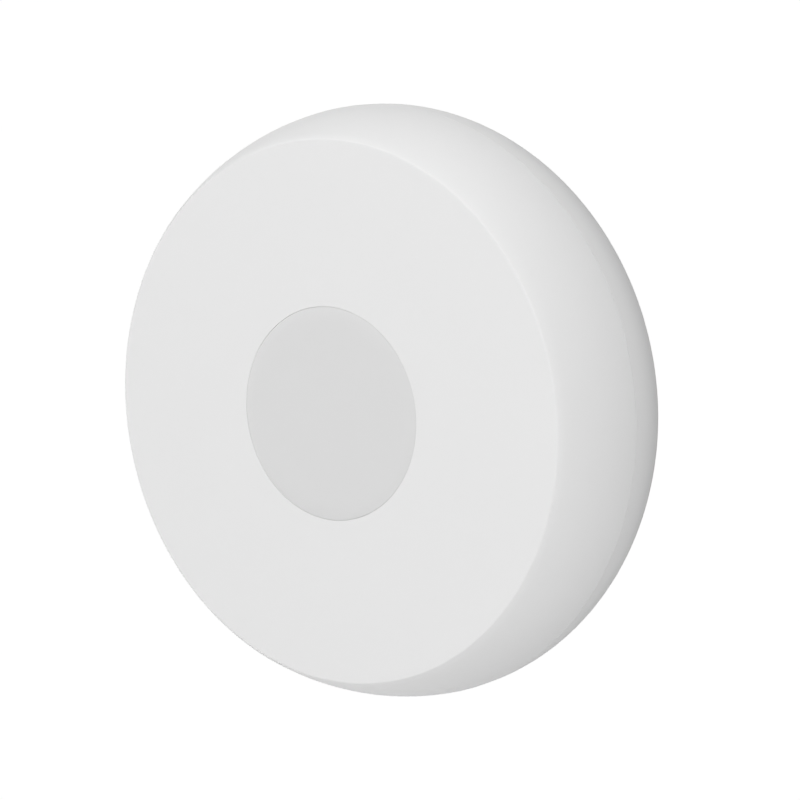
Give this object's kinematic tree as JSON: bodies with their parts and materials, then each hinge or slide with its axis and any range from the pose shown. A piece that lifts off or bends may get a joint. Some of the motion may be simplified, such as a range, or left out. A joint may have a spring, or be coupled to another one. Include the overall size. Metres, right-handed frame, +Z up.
{
  "type": "emergency button",
  "caption": "Round wall-mounted wireless emergency button: convex two-shell puck with a flat face and a round push button in its middle.",
  "frame": {"origin": "middle of the adhesive pad's rear face, on the wall", "axes": "+Y into the wall, so the face looks along -Y; +Z up; +X to the right seen from the front"},
  "size_m": [0.056, 0.0191, 0.056],
  "materials": {
    "cover_white": "fine satin moulded white",
    "button_grey": "fine satin moulded light grey",
    "frame_black": "moulded black, light texture",
    "pad_foam": "grey closed-cell foam",
    "seal_rubber": "black rubber",
    "silicone": "translucent silicone",
    "board_green": "solder mask over glass fibre",
    "switch_body": "moulded black",
    "plunger_plastic": "moulded",
    "spring_steel": "stainless sheet",
    "tinned_metal": "tinned sheet",
    "screw_steel": "zinc plated",
    "cell_steel": "polished nickel-plated can",
    "chip_black": "moulded epoxy",
    "ceramic": "ceramic body",
    "capacitor_yellow": "moulded yellow",
    "led_white": "clear lens on a white base"
  },
  "bodies": {
    "base": {"rear_cover": "cover_white", "adhesive_pad": "pad_foam"},
    "housing": {"front_cover": "cover_white", "cover_seal": "seal_rubber", "inner_frame": "frame_black", "frame_screws": "screw_steel", "circuit_board": "board_green", "switch_housing": "switch_body", "switch_plate": "spring_steel", "switch_dome": "spring_steel", "switch_terminals": "tinned_metal", "button_membrane": "silicone", "membrane_retainer": "frame_black", "battery_cell": "cell_steel", "battery_negative_contact": "spring_steel", "battery_positive_contact": "spring_steel", "radio_shield": "tinned_metal", "radio_chip": "chip_black", "crystal": "tinned_metal", "chip_antenna": "ceramic", "reservoir_capacitor": "capacitor_yellow", "board_capacitors": "ceramic", "board_resistors": "chip_black", "status_led": "led_white"},
    "button": {"button_cap": "button_grey"},
    "plunger": {"switch_plunger": "plunger_plastic"}
  },
  "joints": [
    {"name": "cover_twist", "type": "hinge", "parent": "base", "child": "housing", "pos_m": [0, -0.0107, 0], "axis": [0, -1, 0], "range_deg": [0, 30]},
    {"name": "button_press", "type": "slide", "parent": "housing", "child": "button", "axis": [0, 1, 0], "range_m": [0, 0.0005], "stiffness_N_per_m": 7000, "deforming": ["button_membrane"]},
    {"name": "plunger_press", "type": "slide", "parent": "housing", "child": "plunger", "axis": [0, 1, 0], "range_m": [0, 0.0005], "deforming": ["switch_dome"]}
  ],
  "couplings": [
    {"joint": "plunger_press", "follows": "button_press", "ratio": 1}
  ]
}
